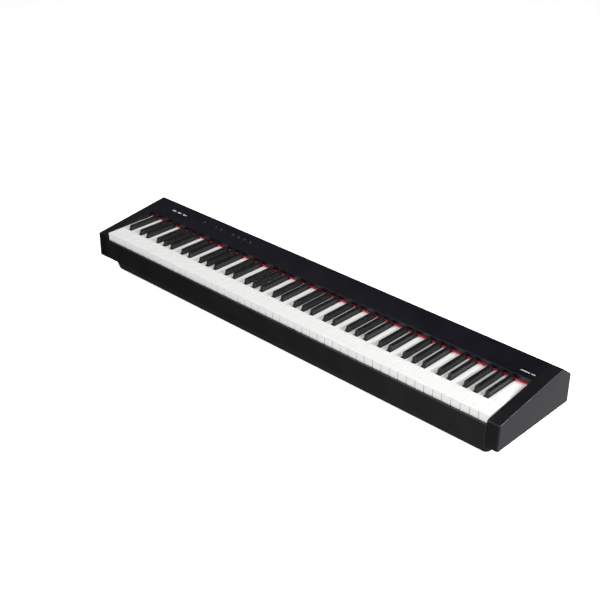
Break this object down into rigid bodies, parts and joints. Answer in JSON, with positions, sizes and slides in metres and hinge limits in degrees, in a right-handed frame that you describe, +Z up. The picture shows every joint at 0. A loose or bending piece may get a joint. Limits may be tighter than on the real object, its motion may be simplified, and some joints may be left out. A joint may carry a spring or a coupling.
{
  "type": "digital piano",
  "caption": "Slab digital piano: hinged weighted keys with hammers between sloping end blocks, a control panel with push buttons, and a recessed speaker tray.",
  "frame": {"origin": "on the floor under the middle of the case's box, at the feet's undersides", "axes": "+X along the keyboard from the lowest note to the highest, +Y from the player to the rear, +Z up"},
  "size_m": [1.2896, 0.262, 0.138],
  "materials": {
    "case_black": "fine satin texture",
    "panel_black": "satin, fine grain",
    "tray_black": "matte, coarse grain",
    "white_key": "satin gloss, warm white",
    "black_key": "satin with fine wood-like grain",
    "button_black": "satin",
    "red_felt": "woven wool felt",
    "grey_felt": "wool felt",
    "steel": "zinc-plated",
    "frame_plastic": "moulded",
    "circuit_green": "lacquered board",
    "socket_metal": "nickel-plated",
    "socket_black": "moulded",
    "speaker_black": "paper cone and pressed basket",
    "foot_rubber": "matte"
  },
  "bodies": {
    "case": {"end_block_left": "case_black", "end_block_right": "case_black", "front_rail": "case_black", "control_panel": "panel_black", "rear_cover": "case_black", "bottom_tray": "tray_black", "chassis_plate": "steel", "key_frame": "frame_plastic", "key_pivot_rod": "steel", "hammer_pivot_rod": "steel", "wall_felt": "red_felt", "key_stop_felt": "grey_felt", "hammer_rest_felt": "grey_felt", "contact_board": "circuit_green", "main_board": "circuit_green", "panel_board": "circuit_green", "speaker_left": "speaker_black", "speaker_right": "speaker_black", "foot_front_left": "foot_rubber", "foot_front_right": "foot_rubber", "foot_rear_left": "foot_rubber", "foot_rear_right": "foot_rubber", "headphone_socket_left": "socket_black", "headphone_socket_right": "socket_black", "pedal_socket": "socket_metal", "dc_inlet": "socket_black", "data_port": "socket_black"},
    "key_c4": {"white_key_c4": "white_key"},
    "key_c_sharp_4": {"black_key_c_sharp_4": "black_key"},
    "key_d4": {"white_key_d4": "white_key"},
    "key_d_sharp_4": {"black_key_d_sharp_4": "black_key"},
    "key_e4": {"white_key_e4": "white_key"},
    "key_f4": {"white_key_f4": "white_key"},
    "key_f_sharp_4": {"black_key_f_sharp_4": "black_key"},
    "key_g4": {"white_key_g4": "white_key"},
    "key_g_sharp_4": {"black_key_g_sharp_4": "black_key"},
    "key_a4": {"white_key_a4": "white_key"},
    "key_a_sharp_4": {"black_key_a_sharp_4": "black_key"},
    "key_b4": {"white_key_b4": "white_key"},
    "white_row": {"white_key_row": "white_key"},
    "black_row": {"black_key_row": "black_key"},
    "hammer_c4": {"hammer_c4": "frame_plastic"},
    "hammer_c_sharp_4": {"hammer_c_sharp_4": "frame_plastic"},
    "hammer_d4": {"hammer_d4": "frame_plastic"},
    "hammer_d_sharp_4": {"hammer_d_sharp_4": "frame_plastic"},
    "hammer_e4": {"hammer_e4": "frame_plastic"},
    "hammer_f4": {"hammer_f4": "frame_plastic"},
    "hammer_f_sharp_4": {"hammer_f_sharp_4": "frame_plastic"},
    "hammer_g4": {"hammer_g4": "frame_plastic"},
    "hammer_g_sharp_4": {"hammer_g_sharp_4": "frame_plastic"},
    "hammer_a4": {"hammer_a4": "frame_plastic"},
    "hammer_a_sharp_4": {"hammer_a_sharp_4": "frame_plastic"},
    "hammer_b4": {"hammer_b4": "frame_plastic"},
    "power_button": {"power_button": "button_black"},
    "volume_button_1": {"volume_button_1": "button_black"},
    "volume_button_2": {"volume_button_2": "button_black"},
    "function_button_1": {"function_button_1": "button_black"},
    "function_button_2": {"function_button_2": "button_black"},
    "function_button_3": {"function_button_3": "button_black"},
    "function_button_4": {"function_button_4": "button_black"}
  },
  "joints": [
    {"name": "c4_press", "type": "hinge", "parent": "case", "child": "key_c4", "pos_m": [0, 0.08725, 0.0987], "axis": [1, 0, 0], "range_deg": [0, 2.7], "stiffness_Nm_per_rad": 2.5, "springref_deg": -6.88},
    {"name": "c_sharp_4_press", "type": "hinge", "parent": "case", "child": "key_c_sharp_4", "pos_m": [0, 0.08725, 0.0987], "axis": [1, 0, 0], "range_deg": [0, 2.7], "stiffness_Nm_per_rad": 2.5, "springref_deg": -6.88},
    {"name": "d4_press", "type": "hinge", "parent": "case", "child": "key_d4", "pos_m": [0, 0.08725, 0.0987], "axis": [1, 0, 0], "range_deg": [0, 2.7], "stiffness_Nm_per_rad": 2.5, "springref_deg": -6.88},
    {"name": "d_sharp_4_press", "type": "hinge", "parent": "case", "child": "key_d_sharp_4", "pos_m": [0, 0.08725, 0.0987], "axis": [1, 0, 0], "range_deg": [0, 2.7], "stiffness_Nm_per_rad": 2.5, "springref_deg": -6.88},
    {"name": "e4_press", "type": "hinge", "parent": "case", "child": "key_e4", "pos_m": [0, 0.08725, 0.0987], "axis": [1, 0, 0], "range_deg": [0, 2.7], "stiffness_Nm_per_rad": 2.5, "springref_deg": -6.88},
    {"name": "f4_press", "type": "hinge", "parent": "case", "child": "key_f4", "pos_m": [0, 0.08725, 0.0987], "axis": [1, 0, 0], "range_deg": [0, 2.7], "stiffness_Nm_per_rad": 2.5, "springref_deg": -6.88},
    {"name": "f_sharp_4_press", "type": "hinge", "parent": "case", "child": "key_f_sharp_4", "pos_m": [0, 0.08725, 0.0987], "axis": [1, 0, 0], "range_deg": [0, 2.7], "stiffness_Nm_per_rad": 2.5, "springref_deg": -6.88},
    {"name": "g4_press", "type": "hinge", "parent": "case", "child": "key_g4", "pos_m": [0, 0.08725, 0.0987], "axis": [1, 0, 0], "range_deg": [0, 2.7], "stiffness_Nm_per_rad": 2.5, "springref_deg": -6.88},
    {"name": "g_sharp_4_press", "type": "hinge", "parent": "case", "child": "key_g_sharp_4", "pos_m": [0, 0.08725, 0.0987], "axis": [1, 0, 0], "range_deg": [0, 2.7], "stiffness_Nm_per_rad": 2.5, "springref_deg": -6.88},
    {"name": "a4_press", "type": "hinge", "parent": "case", "child": "key_a4", "pos_m": [0, 0.08725, 0.0987], "axis": [1, 0, 0], "range_deg": [0, 2.7], "stiffness_Nm_per_rad": 2.5, "springref_deg": -6.88},
    {"name": "a_sharp_4_press", "type": "hinge", "parent": "case", "child": "key_a_sharp_4", "pos_m": [0, 0.08725, 0.0987], "axis": [1, 0, 0], "range_deg": [0, 2.7], "stiffness_Nm_per_rad": 2.5, "springref_deg": -6.88},
    {"name": "b4_press", "type": "hinge", "parent": "case", "child": "key_b4", "pos_m": [0, 0.08725, 0.0987], "axis": [1, 0, 0], "range_deg": [0, 2.7], "stiffness_Nm_per_rad": 2.5, "springref_deg": -6.88},
    {"name": "white_row_press", "type": "hinge", "parent": "case", "child": "white_row", "pos_m": [0, 0.08725, 0.0987], "axis": [1, 0, 0], "range_deg": [0, 2.7], "stiffness_Nm_per_rad": 60, "springref_deg": -6.88},
    {"name": "black_row_press", "type": "hinge", "parent": "case", "child": "black_row", "pos_m": [0, 0.08725, 0.0987], "axis": [1, 0, 0], "range_deg": [0, 2.7], "stiffness_Nm_per_rad": 30, "springref_deg": -6.88},
    {"name": "c4_hammer_lift", "type": "hinge", "parent": "case", "child": "hammer_c4", "pos_m": [0, -0.03475, 0.0677], "axis": [1, 0, 0], "range_deg": [0, 14.5]},
    {"name": "c_sharp_4_hammer_lift", "type": "hinge", "parent": "case", "child": "hammer_c_sharp_4", "pos_m": [0, -0.03475, 0.0677], "axis": [1, 0, 0], "range_deg": [0, 14.5]},
    {"name": "d4_hammer_lift", "type": "hinge", "parent": "case", "child": "hammer_d4", "pos_m": [0, -0.03475, 0.0677], "axis": [1, 0, 0], "range_deg": [0, 14.5]},
    {"name": "d_sharp_4_hammer_lift", "type": "hinge", "parent": "case", "child": "hammer_d_sharp_4", "pos_m": [0, -0.03475, 0.0677], "axis": [1, 0, 0], "range_deg": [0, 14.5]},
    {"name": "e4_hammer_lift", "type": "hinge", "parent": "case", "child": "hammer_e4", "pos_m": [0, -0.03475, 0.0677], "axis": [1, 0, 0], "range_deg": [0, 14.5]},
    {"name": "f4_hammer_lift", "type": "hinge", "parent": "case", "child": "hammer_f4", "pos_m": [0, -0.03475, 0.0677], "axis": [1, 0, 0], "range_deg": [0, 14.5]},
    {"name": "f_sharp_4_hammer_lift", "type": "hinge", "parent": "case", "child": "hammer_f_sharp_4", "pos_m": [0, -0.03475, 0.0677], "axis": [1, 0, 0], "range_deg": [0, 14.5]},
    {"name": "g4_hammer_lift", "type": "hinge", "parent": "case", "child": "hammer_g4", "pos_m": [0, -0.03475, 0.0677], "axis": [1, 0, 0], "range_deg": [0, 14.5]},
    {"name": "g_sharp_4_hammer_lift", "type": "hinge", "parent": "case", "child": "hammer_g_sharp_4", "pos_m": [0, -0.03475, 0.0677], "axis": [1, 0, 0], "range_deg": [0, 14.5]},
    {"name": "a4_hammer_lift", "type": "hinge", "parent": "case", "child": "hammer_a4", "pos_m": [0, -0.03475, 0.0677], "axis": [1, 0, 0], "range_deg": [0, 14.5]},
    {"name": "a_sharp_4_hammer_lift", "type": "hinge", "parent": "case", "child": "hammer_a_sharp_4", "pos_m": [0, -0.03475, 0.0677], "axis": [1, 0, 0], "range_deg": [0, 14.5]},
    {"name": "b4_hammer_lift", "type": "hinge", "parent": "case", "child": "hammer_b4", "pos_m": [0, -0.03475, 0.0677], "axis": [1, 0, 0], "range_deg": [0, 14.5]},
    {"name": "power_button_push", "type": "slide", "parent": "case", "child": "power_button", "axis": [0, 0.1408, -0.99], "range_m": [0, 0.001], "stiffness_N_per_m": 600, "springref_m": -0.0005},
    {"name": "volume_button_1_push", "type": "slide", "parent": "case", "child": "volume_button_1", "axis": [0, 0.1408, -0.99], "range_m": [0, 0.001], "stiffness_N_per_m": 600, "springref_m": -0.0005},
    {"name": "volume_button_2_push", "type": "slide", "parent": "case", "child": "volume_button_2", "axis": [0, 0.1408, -0.99], "range_m": [0, 0.001], "stiffness_N_per_m": 600, "springref_m": -0.0005},
    {"name": "function_button_1_push", "type": "slide", "parent": "case", "child": "function_button_1", "axis": [0, 0.1408, -0.99], "range_m": [0, 0.001], "stiffness_N_per_m": 600, "springref_m": -0.0005},
    {"name": "function_button_2_push", "type": "slide", "parent": "case", "child": "function_button_2", "axis": [0, 0.1408, -0.99], "range_m": [0, 0.001], "stiffness_N_per_m": 600, "springref_m": -0.0005},
    {"name": "function_button_3_push", "type": "slide", "parent": "case", "child": "function_button_3", "axis": [0, 0.1408, -0.99], "range_m": [0, 0.001], "stiffness_N_per_m": 600, "springref_m": -0.0005},
    {"name": "function_button_4_push", "type": "slide", "parent": "case", "child": "function_button_4", "axis": [0, 0.1408, -0.99], "range_m": [0, 0.001], "stiffness_N_per_m": 600, "springref_m": -0.0005}
  ],
  "couplings": [
    {"joint": "c4_hammer_lift", "follows": "c4_press", "ratio": 5.3},
    {"joint": "c_sharp_4_hammer_lift", "follows": "c_sharp_4_press", "ratio": 5.3},
    {"joint": "d4_hammer_lift", "follows": "d4_press", "ratio": 5.3},
    {"joint": "d_sharp_4_hammer_lift", "follows": "d_sharp_4_press", "ratio": 5.3},
    {"joint": "e4_hammer_lift", "follows": "e4_press", "ratio": 5.3},
    {"joint": "f4_hammer_lift", "follows": "f4_press", "ratio": 5.3},
    {"joint": "f_sharp_4_hammer_lift", "follows": "f_sharp_4_press", "ratio": 5.3},
    {"joint": "g4_hammer_lift", "follows": "g4_press", "ratio": 5.3},
    {"joint": "g_sharp_4_hammer_lift", "follows": "g_sharp_4_press", "ratio": 5.3},
    {"joint": "a4_hammer_lift", "follows": "a4_press", "ratio": 5.3},
    {"joint": "a_sharp_4_hammer_lift", "follows": "a_sharp_4_press", "ratio": 5.3},
    {"joint": "b4_hammer_lift", "follows": "b4_press", "ratio": 5.3}
  ]
}
